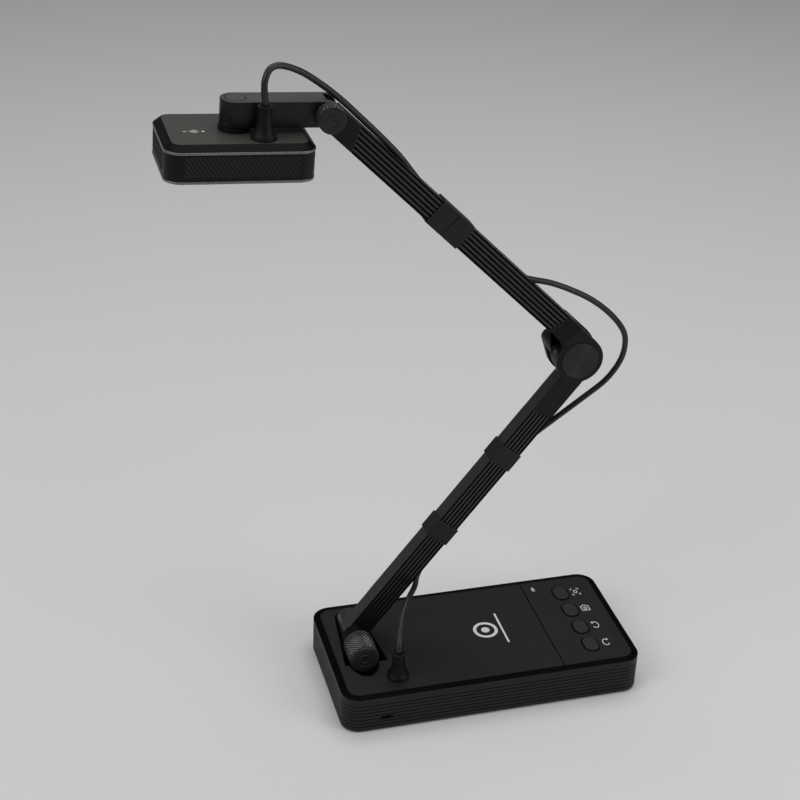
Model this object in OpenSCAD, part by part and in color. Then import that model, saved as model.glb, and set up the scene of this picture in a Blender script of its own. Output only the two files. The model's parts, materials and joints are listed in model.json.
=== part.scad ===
// Document camera: a weighted base, two folding arms and a swivelling camera head.
// Origin: centre of the base on the surface it stands on. +X towards the buttons,
// +Y towards the back, +Z up. Millimetres.

/* [Base] */
// Length of the base
base_l = 240; // [232:1:260]
// Depth of the base, front to back
base_w = 120; // [118:1:140]
// Height of the base's top surface above the table
base_h = 31.5; // [31.5:0.5:34]
// Radius of the base's corners, seen from above
base_r = 14; // [12:1:16]
// Number of grooves round the side of the base
groove_count = 7; // [3:1:7]
// Width of the four oval push buttons
button_w = 12.6; // [11:0.2:13]
// Length of the buttons, front to back
button_l = 18; // [14:0.5:18]
// Distance between button centres
button_pitch = 23; // [22:0.5:24]
// Travel of a button
button_travel = 0.6; // [0.3:0.1:0.6]

/* [Arms] */
// Height of an arm's section, in the plane in which it folds
arm_h = 18; // [18:0.5:20]
// Thickness of an arm, across that plane
arm_t = 13; // [13:0.5:14]
// Lower arm, base hinge to elbow, along its centre line
lower_len = 283; // [270:1:300]
// Upper arm, elbow to wrist, along its centre line
upper_len = 278; // [265:1:295]
// Angle of the lower arm above the table at rest
lower_angle = 52.5; // [50:0.5:55]
// Direction of the upper arm at rest
upper_angle = 135.7; // [133:0.1:138]
// Distance of the elbow's axis from each arm's centre line
elbow_offset = 9.3; // [9.1:0.1:9.8]

/* [Head] */
// Length of the camera head
head_l = 99; // [98:1:110]
// Depth of the camera head
head_w = 67; // [66:1:74]
// Wrist axis to swivel axis
reach = 60.5; // [58:0.5:64]
// Tilt of the head at rest, outer end up
head_tilt = 3; // [0:0.5:6]

/* [Cable] */
// Diameter of the cable from the base to the head
cable_d = 4.4; // [3.8:0.1:4.5]

/* [Hidden] */
$fn = 64;

// Fits: a fixed shaft in its hole, and a shaft that its hole turns on
fixed_gap = 0.03;
running_gap = 0.05;

// Base: a shallow bevel runs round the top, inside it lie two thin plates on a deck
bevel_in = 5;
bevel_h = 1;
rim_h = 2.5;
plate_in = 5.5;
plate_t = 1.5;
deck_t = 2;
band_wall = 3;
band_z = 1.5;
foot_h = 1;
cover_t = 2.5;
cover_top = foot_h + cover_t;
bevel_z = base_h - bevel_h;
shell_z = bevel_z - rim_h;
plate_z = base_h - plate_t;
deck_z = plate_z - deck_t;
seam_x = 56.6;
seam_gap = 0.4;
button_x = 85.7;
button_y = 0.5;
mic_x = 72.2;
mic_y = 44.6;
boss_x = base_l / 2 - 8.5;
boss_y = base_w / 2 - 10;
boss_r = 3.6;
screw_r = 1.5;
screw_len = 10;
screw_head_r = 2.6;
screw_head_h = 1.6;
groove_pitch = 3.2;
port_x = -87.4;
port_z = 11.8;
board_z = 8.6;
board_t = 1.6;
key_board_z = 17;

// Base hinge: its axis runs along Y, a little above the top plate, in a pocket
hinge_x = -94.4;
hinge_z = base_h + 4;
arm_y = 19.5;
pocket_floor = 22.5;
pocket_bottom = 20;
knob_r = 11.7;
lug_r = 11.2;
barrel_r = 9;
hinge_bolt_r = 4;
washer_t = 0.35;
side_y = arm_t / 2 + 0.4;
lug_front = -16.1;
barrel_back = 18;
hinge_head_y = 13.5;
knob_front = -37.2;
knob_back = lug_front - 0.2;
scoop_r = 12.4;
scoop_tilt = 30;
boot_x = -73;
boot_y = -37.5;
boot_h = 22;

// Arms: an open channel down the outer face carries the cable
spigot_y = 4.1;
spigot_low = -2.1;
spigot_high = 6.5;
spigot_len = 24;
channel_w = 4.7;
channel_depth = 4.6;
cable_v = -(arm_h / 2 - 2.3);
// Each bar's two ends, and how far they lean along the arm for each millimetre of height
lower_bar_from = 26.8;
lower_from_lean = 0.53;
lower_bar_to = lower_len - 52.2;
lower_to_lean = -0.31;
upper_bar_from = 32.2;
upper_from_lean = 0.24;
upper_bar_to = upper_len - 27.7;
upper_to_lean = -0.48;
clip_len = 15.4;
clip_wall = 1.2;
lower_clips_at = [110.5, 187.3];
upper_clips_at = [146.4, 162.6];

// Elbow: a fork on the upper arm holds a tongue on the lower arm
elbow_r = elbow_offset + arm_h / 2;
tongue_r = elbow_r - 1.3;
fork_y = side_y + 5.7;
slot_u = elbow_r + 0.5;
elbow_bolt_r = 5;
elbow_head_r = 9;
elbow_cap_r = 14.4;
// Rounded shoulder of the fork, behind its front ear
shoulder_at = [19.2, 13.2];
shoulder_r = 6;
neck_fillet = 4;
elbow_x = hinge_x + lower_len * cos(lower_angle) - elbow_offset * sin(lower_angle);
elbow_z = hinge_z + lower_len * sin(lower_angle) + elbow_offset * cos(lower_angle);

// Wrist: a fork on the bracket holds the upper arm's tip
bracket_w = 20;
bracket_low = -8.5;
bracket_high = 9.3;
roof_t = 2.2;
tip_r = 6.4;
tip_step = 5;
wrist_bolt_r = 3;
wrist_knob_r = 9.6;
wrist_knob_front = -20.1;
wrist_knob_back = -bracket_w / 2 - 0.3;
wrist_x = elbow_x + upper_len * cos(upper_angle) + elbow_offset * sin(upper_angle);
wrist_z = elbow_z + upper_len * sin(upper_angle) - elbow_offset * cos(upper_angle);

// Head, in its own frame: origin at the wrist, X towards the buttons when level
head_r = 11;
head_top = -12;
head_bevel_in = 4.4;
head_bevel_h = 3.8;
head_plate_in = 4.9;
head_plate_z = head_top - plate_t;
head_deck_z = head_plate_z - deck_t;
trim_h = 1.7;
trim_out = 0.3;
upper_trim_z = head_top - head_bevel_h - trim_h;
lower_trim_z = -37;
head_bottom = -38.5;
head_wall = 2;
post_r = 4;
head_boot_at = [16, -18.7];
lens_dx = -18;
led_dx = 18;
head_screw_x = 42;
head_screw_y = 25.5;

// Cable routes. The first and the last point of each only set its direction there.
function lower_at(u, v) = [
    hinge_x + u * cos(lower_angle) - v * sin(lower_angle), arm_y,
    hinge_z + u * sin(lower_angle) + v * cos(lower_angle)];
function upper_at(u, v) = [
    elbow_x + u * cos(upper_angle) - (v - elbow_offset) * sin(upper_angle), arm_y,
    elbow_z + u * sin(upper_angle) + (v - elbow_offset) * cos(upper_angle)];
function head_at(x, y, z) = [
    wrist_x + x * cos(head_tilt) + z * sin(head_tilt), arm_y + y,
    wrist_z - x * sin(head_tilt) + z * cos(head_tilt)];
base_route = [lower_at(102, -9), lower_at(90, cable_v), lower_at(80, -9), [-44, 17.8, 82.8],
    [-48.3, 10, 77.5], [-57.5, -4, 76], [-66.5, -20, 71.5], [-71.5, -33, 62],
    [boot_x, boot_y, base_h + boot_h], [-71.5, -33, base_h]];
elbow_route = [upper_at(90, -9.8), upper_at(80, cable_v), upper_at(72, -9.8),
    [47, arm_y, 325.5], [63, arm_y, 318.5], [80, arm_y, 309], [96, arm_y, 296],
    [108, arm_y, 281], [111, arm_y, 268], [108, arm_y, 254], [98, arm_y, 239.5],
    [81, arm_y, 226], [64, arm_y, 213.5], lower_at(216, -11.1), lower_at(206, -8.4),
    lower_at(197, cable_v), lower_at(187, -8.4)];
boot_px = -reach + head_boot_at[0];
boot_py = head_boot_at[1];
head_route = [head_at(-45.5, -18.5, 0), head_at(boot_px, boot_py, head_top + boot_h),
    head_at(-45.5, -18.5, 20), head_at(-45, -17.5, 27), head_at(-41.5, -15, 33),
    head_at(-34, -12, 34.2), head_at(-20.5, -8.5, 29.2), head_at(-6, -5.5, 20),
    head_at(9, -2.5, 8.4), head_at(24, -0.5, -5), upper_at(233, -11.7), upper_at(215, -10.6),
    upper_at(200, -8.3), upper_at(186, cable_v), upper_at(172, -8.3)];
bracket_split = 6;
cable_r = cable_d / 2;
cable_sides = 8;

// ---- Shapes used several times ----

module rounded(l, w, r) {
    square([l - 2 * r, w], center = true);
    square([l, w - 2 * r], center = true);
    for (x = [-1, 1], y = [-1, 1])
        translate([x * (l / 2 - r), y * (w / 2 - r)]) circle(r);
}

module slab(l, w, r, z0, z1) {
    translate([0, 0, z0]) linear_extrude(z1 - z0) rounded(l, w, r);
}

module ring(l, w, r, wall, z0, z1) {
    difference() {
        slab(l, w, r, z0, z1);
        slab(l - 2 * wall, w - 2 * wall, r - wall, z0 - 1, z1 + 1);
    }
}

// Block whose sides lean inwards by inset from bottom to top
module bevelled(l, w, r, inset, h) {
    for (x = [-1, 1], y = [-1, 1])
        translate([x * (l / 2 - r), y * (w / 2 - r), 0]) cylinder(h = h, r1 = r, r2 = r - inset);
    bevelled_bar(l - 2 * r, w, inset, h);
    rotate([0, 0, 90]) bevelled_bar(w - 2 * r, l, inset, h);
}

module bevelled_bar(l, w, inset, h) {
    translate([-l / 2, 0, 0]) rotate([90, 0, 90]) linear_extrude(l)
        polygon([[-w / 2, 0], [w / 2, 0], [w / 2 - inset, h], [inset - w / 2, h]]);
}

// Cylinder along Y from y0 to y1
module rod(r, y0, y1) {
    translate([0, y0, 0]) rotate([-90, 0, 0]) cylinder(h = y1 - y0, r = r);
}

// Block from one corner to the other
module block(low, high) {
    translate(low) cube(high - low);
}

// Oval with straight long sides along Y
module oval(w, l, z0, z1) {
    for (y = [w - l, l - w]) translate([0, y / 2, z0]) cylinder(h = z1 - z0, r = w / 2);
    block([-w / 2, (w - l) / 2, z0], [w / 2, (l - w) / 2, z1]);
}

// Frames in which the arms and the head are drawn. y = 0 is the arms' middle plane.
module at_hinge() {
    translate([hinge_x, arm_y, hinge_z]) children();
}

module on_lower() {
    at_hinge() rotate([0, -lower_angle, 0]) children();
}

module on_upper() {
    translate([elbow_x, arm_y, elbow_z]) rotate([0, -upper_angle, 0])
        translate([0, 0, -elbow_offset]) children();
}

module on_head() {
    translate([wrist_x, arm_y, wrist_z]) rotate([0, head_tilt, 0]) children();
}

module at_swivel() {
    on_head() translate([-reach, 0, 0]) children();
}

// Machine screw with a flat head, its head's top face at z = 0, pointing up
module screw(r, length, head_r, head_h) {
    cylinder(h = length, r = r);
    translate([0, 0, -head_h]) cylinder(h = head_h, r = head_r);
}

// ---- Base ----

module groove(z) {
    difference() {
        slab(base_l + 2, base_w + 2, base_r + 1, z - 0.4, z + 0.4);
        slab(base_l - 1.2, base_w - 1.2, base_r - 0.6, z - 1, z + 1);
    }
}

module base_band() {
    color("#1b1b1c") difference() {
        ring(base_l, base_w, base_r, band_wall, band_z, shell_z);
        for (i = [0 : groove_count - 1]) groove(band_z + 3.7 + i * groove_pitch);
        translate([port_x, -base_w / 2, port_z]) port_opening(8);
    }
}

module port_opening(depth) {
    block([-3.3, -1, -1.95], [3.3, depth - 1, 1.95]);
    for (x = [-3.3, 3.3]) translate([x, 0, 0]) rod(1.95, -1, depth - 1);
}

module boss_places() {
    for (x = [-boss_x, boss_x], y = [-boss_y, boss_y]) translate([x, y, 0]) children();
    for (y = [-1, 1]) translate([0, y * (boss_y + 2), 0]) children();
}

module hinge_screw_places() {
    at_hinge() for (x = [-6.3, 6.3], y = [-11.5, 11.8]) translate([x, y, -hinge_z]) children();
}

// Plan of the pocket: it narrows towards its round back end
module pocket_outline(grow) {
    polygon([[-109.5 - grow, -17.3 - grow], [-75.6 + grow, -17.3 - grow], [-79.6 + grow, 12],
        [-84 + grow, 41.5], [-103.6 - grow, 41.5], [-106 - grow, 15]]);
    translate([-93.8, 41.5]) circle(9.8 + grow);
}

// Finger scoop in front of the knob, running up to the top plate
module scoop(r) {
    translate([hinge_x, -16.1, hinge_z]) rotate([90 - scoop_tilt, 0, 0])
        translate([0, 0, -6]) cylinder(h = 46, r = r);
}

module pocket_hollow() {
    translate([0, 0, pocket_floor]) linear_extrude(20) pocket_outline(0);
    intersection() {
        scoop(scoop_r);
        block([-140, -60, pocket_floor], [-50, 0, 60]);
    }
}

module pocket_well() {
    translate([0, 0, pocket_bottom]) linear_extrude(deck_z - pocket_bottom) pocket_outline(2);
    intersection() {
        scoop(scoop_r + 2);
        block([-140, -50, pocket_bottom], [-50, 0, deck_z]);
    }
}

module button_places() {
    for (i = [-1.5 : 1 : 1.5])
        translate([button_x, button_y - i * button_pitch, 0]) children();
}

module key_post_places() {
    for (y = [-1, 1]) translate([98, button_y + y * button_pitch, 0]) children();
}

module base_top_shell() {
    color("#202021") difference() {
        union() {
            translate([0, 0, bevel_z]) bevelled(base_l, base_w, base_r, bevel_in, bevel_h);
            slab(base_l, base_w, base_r, shell_z, bevel_z);
            ring(base_l - 2 * band_wall - 0.1, base_w - 2 * band_wall - 0.1,
                base_r - band_wall, 1.5, shell_z - 4, shell_z);
            boss_places() translate([0, 0, cover_top]) cylinder(h = deck_z - cover_top, r = boss_r);
            key_post_places() translate([0, 0, key_board_z + board_t])
                cylinder(h = deck_z - key_board_z - board_t, r = 3);
            pocket_well();
        }
        slab(base_l - 2 * plate_in + 0.1, base_w - 2 * plate_in + 0.1, base_r - bevel_in - 0.4,
            plate_z, base_h + 1);
        pocket_hollow();
        boss_places() translate([0, 0, cover_top - 1]) cylinder(h = 13, r = screw_r + fixed_gap);
        hinge_screw_places() translate([0, 0, pocket_bottom - 1])
            cylinder(h = 5, r = screw_r + fixed_gap);
        key_post_places() translate([0, 0, key_board_z]) cylinder(h = 7, r = 1.25 + fixed_gap);
        button_places() oval(button_w + 3.2, button_l + 3.2, deck_z - 1, deck_z + 3);
        translate([mic_x, mic_y, deck_z - 1]) cylinder(h = 4, r = 1);
        translate([boot_x, boot_y, deck_z - 1]) cylinder(h = 4, r = 5 + fixed_gap);
    }
}

module plate_slab(x0, x1) {
    intersection() {
        slab(base_l - 2 * plate_in, base_w - 2 * plate_in, base_r - bevel_in - 0.5,
            plate_z, base_h);
        block([x0, -base_w, 0], [x1, base_w, base_h + 1]);
    }
}

module top_plate() {
    color("#262627") difference() {
        plate_slab(-base_l, seam_x - seam_gap / 2);
        pocket_hollow();
        translate([boot_x, boot_y, plate_z - 1]) cylinder(h = 4, r = 5 + fixed_gap);
    }
}

module control_plate() {
    color("#262627") difference() {
        plate_slab(seam_x + seam_gap / 2, base_l);
        button_places() oval(button_w + 0.6, button_l + 0.6, plate_z - 1, base_h + 1);
        translate([mic_x, mic_y, plate_z - 1]) cylinder(h = 4, r = 0.6);
    }
}

module bottom_cover() {
    color("#1a1a1a") difference() {
        slab(base_l - 2 * band_wall - 0.1, base_w - 2 * band_wall - 0.1, base_r - band_wall,
            foot_h, cover_top);
        boss_places() translate([0, 0, foot_h - 1]) {
            cylinder(h = 6, r = screw_r + fixed_gap);
            cylinder(h = 1 + screw_head_h, r = screw_head_r + fixed_gap);
        }
    }
}

module rubber_pad() {
    color("#101010") slab(base_l - 50, base_w - 32, 8, 0, foot_h);
}

module base_screws() {
    color("silver") {
        boss_places() translate([0, 0, foot_h + screw_head_h])
            screw(screw_r, screw_len, screw_head_r, screw_head_h);
        hinge_screw_places() translate([0, 0, pocket_bottom])
            screw(screw_r, screw_len, screw_head_r, screw_head_h);
    }
}

module ballast_plate() {
    color("#6d7074") difference() {
        block([-84, -46, cover_top], [84, 46, cover_top + 3.1]);
        board_screw_places() translate([0, 0, cover_top - 1])
            cylinder(h = 6, r = 1.25 + fixed_gap);
    }
}

module board_screw_places() {
    for (x = [-76, -14], y = [-40, -12]) translate([x, y, 0]) children();
}

// Circuit board with its spacers, chips and cable sockets
module main_board() {
    color("#1d5a35") difference() {
        union() {
            block([-98, -56, board_z], [-6, -6, board_z + board_t]);
            board_screw_places() translate([0, 0, cover_top + 3.1])
                cylinder(h = board_z - cover_top - 3.1, r = 3);
        }
        board_screw_places() translate([0, 0, cover_top + 1])
            cylinder(h = 12, r = 1.25 + fixed_gap);
    }
    color("#151515") {
        block([-50, -40, board_z + board_t], [-34, -24, board_z + board_t + 1.2]);
        block([-24, -34, board_z + board_t], [-12, -26, board_z + board_t + 1]);
        block([-70, -30, board_z + board_t], [-60, -24, board_z + board_t + 4]);
        block([-14, -23, board_z + board_t], [-8, -16, board_z + board_t + 3]);
    }
}

module board_screws() {
    color("silver") {
        board_screw_places() translate([0, 0, board_z + board_t]) rotate([180, 0, 0])
            screw(1.25, 5.4, 2.2, 1.3);
        key_post_places() translate([0, 0, key_board_z]) screw(1.25, 5.4, 2.2, 1.3);
    }
}

module usb_port() {
    color("silver") translate([port_x, -base_w / 2, port_z]) difference() {
        union() {
            block([-2.9, 0.6, -1.6], [2.9, 8.6, 1.6]);
            for (x = [-2.9, 2.9]) translate([x, 0, 0]) rod(1.6, 0.6, 8.6);
        }
        difference() {
            union() {
                block([-2.9, 0, -1.3], [2.9, 7.4, 1.3]);
                for (x = [-2.9, 2.9]) translate([x, 0, 0]) rod(1.3, 0, 7.4);
            }
            block([-3.3, 2.2, -0.35], [3.3, 8, 0.35]);
        }
    }
}

module key_board() {
    color("#1d5a35") difference() {
        block([74, button_y - 43, key_board_z], [104, button_y + 43, key_board_z + board_t]);
        key_post_places() translate([0, 0, key_board_z - 1]) cylinder(h = 4, r = 1.25 + fixed_gap);
    }
}

module key_switches() {
    color("#c8c8c8") button_places() {
        block([-3, -3, key_board_z + board_t], [3, 3, key_board_z + board_t + 3.4]);
        translate([0, 0, key_board_z + board_t + 3.4]) cylinder(h = 0.8, r = 1.7);
    }
}

module mic_capsule() {
    color("#9a9a9a") translate([mic_x, mic_y, deck_z - 3]) cylinder(h = 3, r = 3);
}

// Push button: a cap in the plate, a flange below it and a stem down to its switch
module button(index) {
    color("#1c1c1d") translate([button_x, button_y + (1.5 - index) * button_pitch, 0]) {
        oval(button_w, button_l, plate_z - 0.6, base_h + 0.6);
        oval(button_w + 2.2, button_l + 2.2, plate_z - 1.4, plate_z - 0.6);
        translate([0, 0, key_board_z + board_t + 4.2 + button_travel + 0.1])
            cylinder(h = plate_z - 1.4 - key_board_z - board_t - 4.3 - button_travel, r = 2);
    }
}

module focus_button() {
    button(0);
}

module snapshot_button() {
    button(1);
}

module rotate_left_button() {
    button(2);
}

module rotate_right_button() {
    button(3);
}

// ---- Base hinge ----

module hinge_block() {
    color("#141415") at_hinge() difference() {
        union() {
            rod(lug_r, lug_front, -side_y);
            rod(barrel_r, side_y, barrel_back);
            block([-lug_r, lug_front, pocket_floor - hinge_z], [lug_r, -side_y, 0]);
            block([-barrel_r, side_y, pocket_floor - hinge_z], [barrel_r, barrel_back, 0]);
            block([-barrel_r, -side_y, pocket_floor - hinge_z],
                [barrel_r, side_y, pocket_floor - hinge_z + 2.5]);
        }
        rod(hinge_bolt_r + fixed_gap, lug_front - 1, barrel_back + 1);
        rod(7 + fixed_gap, hinge_head_y, barrel_back + 1);
        for (x = [-6.3, 6.3], y = [-11.5, 11.8]) translate([x, y, pocket_floor - hinge_z - 1])
            cylinder(h = 9, r = screw_r + fixed_gap);
    }
}

module hinge_bolt() {
    color("#55575a") at_hinge() {
        rod(hinge_bolt_r, knob_back - 14, hinge_head_y);
        rod(7, hinge_head_y, barrel_back - 0.5);
    }
}

// Pair of friction washers, one on each side of an arm's end
module washer_pair(bore, r) {
    for (side = [-1, 1]) scale([1, side, 1]) difference() {
        rod(r, side_y - washer_t, side_y);
        rod(bore, 0, side_y + 1);
    }
}

module hinge_washers() {
    color("#b08d4a") at_hinge() washer_pair(hinge_bolt_r + fixed_gap, 8);
}

// Knurled knob with straight flutes: bored from behind for its bolt
module knob(r, y0, y1, bolt_r, bolt_in, flutes) {
    difference() {
        rod(r, y0, y1);
        for (i = [0 : flutes - 1]) rotate([0, i * 360 / flutes, 0])
            translate([r + 0.5, 0, 0]) rod(1, y0 + 0.8, y1 - 0.8);
        rod(bolt_r + running_gap, y1 - bolt_in, y1 + 1);
    }
}

module hinge_knob() {
    color("#2b2b2c") at_hinge()
        knob(knob_r, knob_front, knob_back, hinge_bolt_r, 14.2, 28);
}

// Cap with a raised rim and a dimple in its middle
module knob_cap(r, y0, y1) {
    difference() {
        rod(r, y0, y1);
        difference() {
            rod(r * 0.5, y0 - 1, y0 + 0.4);
            rod(r * 0.44, y0 - 2, y0 + 1);
        }
        rod(r * 0.22, y0 - 1, y0 + 0.7);
    }
}

module hinge_knob_cap() {
    color("#222223") at_hinge() knob_cap(knob_r - 0.3, knob_front - 1.5, knob_front);
}

// Strain relief: a foot, a flared cone and a ringed neck, over a flanged spigot
module boot() {
    rotate_extrude() polygon([[0, 0], [8.6, 0], [8.6, 2.2], [7.5, 3.4], [6.6, 5.2], [5.9, 7.4],
        [5.3, 9.8], [4.8, 12], [4.8, 18], [4.4, 18.2], [4.4, 18.5], [4.9, 18.7], [4.9, 20.2],
        [4.5, 20.4], [4.5, 20.8], [5.3, 21], [5.3, boot_h], [0, boot_h]]);
}

module spigot_flange(depth) {
    translate([0, 0, -depth]) cylinder(h = depth, r = 5);
    translate([0, 0, -depth - 1.5]) cylinder(h = 1.5, r = 6.5);
}

module base_boot() {
    color("#161617") translate([boot_x, boot_y, base_h]) {
        boot();
        spigot_flange(base_h - deck_z);
    }
}

// ---- Arms ----

// Section of an arm's bar: y across, v up. The cable's channel is in the face at -v.
module bar_section() {
    difference() {
        square([arm_t, arm_h], center = true);
        for (side = [-1, 1], i = [-2.5 : 1 : 2.5])
            translate([side * arm_t / 2, i * 3.15]) circle(r = 0.8, $fn = 24);
        translate([-channel_w / 2, -arm_h / 2 - 1]) square([channel_w, channel_depth + 1]);
        translate([-spigot_y - 0.05, spigot_low - 0.05])
            square([2 * spigot_y + 0.1, spigot_high - spigot_low + 0.1]);
    }
}

// Slice across the arms' width, from a side view drawn in the arm's frame
module slice(half) {
    translate([0, half, 0]) rotate([90, 0, 0]) linear_extrude(2 * half) children();
}

// Side view of a length of arm whose ends lean
module arm_side(from, from_lean, to, to_lean) {
    half = arm_h / 2;
    polygon([[from - half * from_lean, -half], [to - half * to_lean, -half],
        [to + half * to_lean, half], [from + half * from_lean, half]]);
}

module bar(from, from_lean, to, to_lean) {
    intersection() {
        translate([from - 10, 0, 0]) rotate([90, 0, 90]) linear_extrude(to - from + 20) bar_section();
        slice(arm_t) arm_side(from, from_lean, to, to_lean);
    }
}

module spigot(from, to) {
    block([from, -spigot_y, spigot_low], [to, spigot_y, spigot_high]);
}

module clip(at) {
    translate([at - clip_len / 2, 0, 0]) rotate([90, 0, 90]) linear_extrude(clip_len) difference() {
        rounded(arm_t + 2 * clip_wall, arm_h + 2 * clip_wall, 1);
        square([arm_t, arm_h], center = true);
    }
}

module lower_bar() {
    color("#2a2a2b") on_lower()
        bar(lower_bar_from, lower_from_lean, lower_bar_to, lower_to_lean);
}

module lower_root() {
    color("#121213") on_lower() difference() {
        union() {
            rod(arm_h / 2, -arm_t / 2, arm_t / 2);
            slice(arm_t / 2) arm_side(0, 0, lower_bar_from, lower_from_lean);
            spigot(lower_bar_from - 6, lower_bar_from + spigot_len);
        }
        rod(hinge_bolt_r + running_gap, -arm_t, arm_t);
    }
}

module lower_tongue() {
    color("#121213") on_lower() difference() {
        union() {
            translate([lower_len, 0, elbow_offset]) rod(tongue_r, -arm_t / 2, arm_t / 2);
            slice(arm_t / 2) arm_side(lower_bar_to, lower_to_lean, lower_len, 0);
            spigot(lower_bar_to - spigot_len, lower_bar_to + 6);
        }
        translate([lower_len, 0, elbow_offset]) rod(elbow_bolt_r + running_gap, -arm_t, arm_t);
    }
}

module lower_clips() {
    color("#1c1c1d") on_lower() for (at = lower_clips_at) clip(at);
}

module upper_bar() {
    color("#2a2a2b") on_upper()
        bar(upper_bar_from, upper_from_lean, upper_bar_to, upper_to_lean);
}

// Side view of the fork's front ear: a disc round the elbow's axis and the neck, with a
// fillet between them
module ear_side() {
    corner = elbow_r + neck_fillet;
    fillet_u = sqrt(corner * corner - pow(arm_h / 2 + neck_fillet - elbow_offset, 2));
    translate([0, elbow_offset]) circle(elbow_r);
    arm_side(0, 0, upper_bar_from, upper_from_lean);
    difference() {
        polygon([[0, elbow_offset], [fillet_u, arm_h / 2], [fillet_u, arm_h / 2 + neck_fillet]]);
        translate([fillet_u, arm_h / 2 + neck_fillet]) circle(neck_fillet);
    }
}

// Side view of the rest of the fork, with its rounded shoulder
module fork_side() {
    lean = atan2(shoulder_at.y - elbow_offset, shoulder_at.x)
        + acos((elbow_r - shoulder_r) / norm(shoulder_at - [0, elbow_offset]));
    edge = [cos(lean), sin(lean)];
    translate([0, elbow_offset]) circle(elbow_r);
    translate(shoulder_at) circle(shoulder_r);
    polygon([[0, elbow_offset], shoulder_at, shoulder_at + shoulder_r * edge,
        [0, elbow_offset] + elbow_r * edge]);
    arm_side(0, 0, upper_bar_from, upper_from_lean);
}

module upper_fork() {
    color("#121213") on_upper() difference() {
        union() {
            intersection() {
                union() {
                    slice(fork_y) ear_side();
                    translate([0, fork_y - side_y, 0]) slice(fork_y) fork_side();
                }
                translate([0, 0, -30]) linear_extrude(80) polygon([[-40, -fork_y], [20, -fork_y],
                    [29, -arm_t / 2], [50, -arm_t / 2], [50, arm_t / 2], [29, arm_t / 2],
                    [25, fork_y], [-40, fork_y]]);
            }
            spigot(upper_bar_from - 6, upper_bar_from + spigot_len);
        }
        block([-40, -side_y, -30], [slot_u, side_y, 50]);
        translate([0, 0, elbow_offset]) {
            rod(elbow_bolt_r + fixed_gap, -20, 20);
            for (side = [-1, 1]) scale([1, side, 1]) {
                rod(elbow_head_r + fixed_gap, 9.3, 20);
                rod(elbow_cap_r + fixed_gap, 11.1, 20);
            }
        }
    }
}

module upper_tip() {
    color("#121213") on_upper() difference() {
        union() {
            translate([upper_len, 0, 0]) rod(tip_r, -arm_t / 2, arm_t / 2);
            slice(arm_t / 2) arm_side(upper_bar_to, upper_to_lean, upper_len - tip_step, 0);
            spigot(upper_bar_to - spigot_len, upper_bar_to + 6);
        }
        translate([upper_len, 0, 0]) rod(wrist_bolt_r + running_gap, -arm_t, arm_t);
    }
}

module upper_clips() {
    color("#1c1c1d") on_upper() for (at = upper_clips_at) clip(at);
}

module at_elbow() {
    on_upper() translate([0, 0, elbow_offset]) children();
}

// Elbow bolt and its round nut
module elbow_bolt() {
    color("#55575a") at_elbow() {
        rod(elbow_bolt_r, -9.3, 11.1);
        rod(elbow_head_r, -11.1, -9.3);
        difference() {
            rod(elbow_head_r, 9.3, 11.1);
            rod(elbow_bolt_r + fixed_gap, 9, 12);
        }
    }
}

module elbow_washers() {
    color("#b08d4a") at_elbow() washer_pair(elbow_bolt_r + fixed_gap, 13);
}

module elbow_caps() {
    color("#19191a") at_elbow() for (side = [-1, 1]) scale([1, side, 1])
        rod(elbow_cap_r, 11.1, fork_y + 0.7);
}

// ---- Wrist and bracket ----

module tilt_bracket() {
    color("#161617") on_head() difference() {
        intersection() {
            union() {
                translate([0, 0, (bracket_high + bracket_low) / 2])
                    rod((bracket_high - bracket_low) / 2, -bracket_w / 2, bracket_w / 2);
                block([-reach - bracket_w, -bracket_w / 2, bracket_low],
                    [0, bracket_w / 2, bracket_high]);
            }
            translate([0, 0, -20]) linear_extrude(40) {
                translate([-reach, 0]) circle(bracket_w / 2);
                translate([-reach, -bracket_w / 2]) square([reach + bracket_w, bracket_w]);
            }
        }
        block([-11, -side_y, -20], [20, side_y, bracket_high - roof_t]);
        block([-1, -side_y, 0], [20, side_y, 20]);
        rod(wrist_bolt_r + fixed_gap, -20, 20);
        translate([-reach, 0, -20]) cylinder(h = 40, r = post_r + running_gap);
        translate([-reach, 0, 4.5]) cylinder(h = 10, r = 6.2);
        translate([-reach, 0, bracket_high - 1.2]) cylinder(h = 10, r = 6.8 + fixed_gap);
    }
}

module wrist_bolt() {
    color("#55575a") on_head() {
        rod(wrist_bolt_r, wrist_knob_back - 7.7, bracket_w / 2);
        rod(6, bracket_w / 2, bracket_w / 2 + 2.5);
    }
}

module wrist_washers() {
    color("#b08d4a") on_head() washer_pair(wrist_bolt_r + fixed_gap, tip_r);
}

module wrist_knob() {
    color("#2b2b2c") on_head()
        knob(wrist_knob_r, wrist_knob_front, wrist_knob_back, wrist_bolt_r, 7.9, 23);
}

module wrist_knob_cap() {
    color("#222223") on_head()
        knob_cap(wrist_knob_r - 0.3, wrist_knob_front - 1.2, wrist_knob_front);
}

module bracket_cap() {
    color("#1c1c1d") at_swivel() translate([0, 0, bracket_high - 1.2])
        cylinder(h = 1.2, r = 6.8);
}

// ---- Head ----

// Post on which the head swivels, with the round nut that holds it in the bracket
module swivel_post() {
    color("#3c3e40") at_swivel() {
        translate([0, 0, head_plate_z]) cylinder(h = plate_t, r = 6);
        translate([0, 0, head_top]) cylinder(h = 3.3, r = 10.8);
        translate([0, 0, head_top]) cylinder(h = 6.6 - head_top, r = post_r);
        difference() {
            translate([0, 0, 4.7]) cylinder(h = 1.9, r = 5.6);
            cylinder(h = 20, r = post_r + fixed_gap);
        }
    }
}

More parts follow.
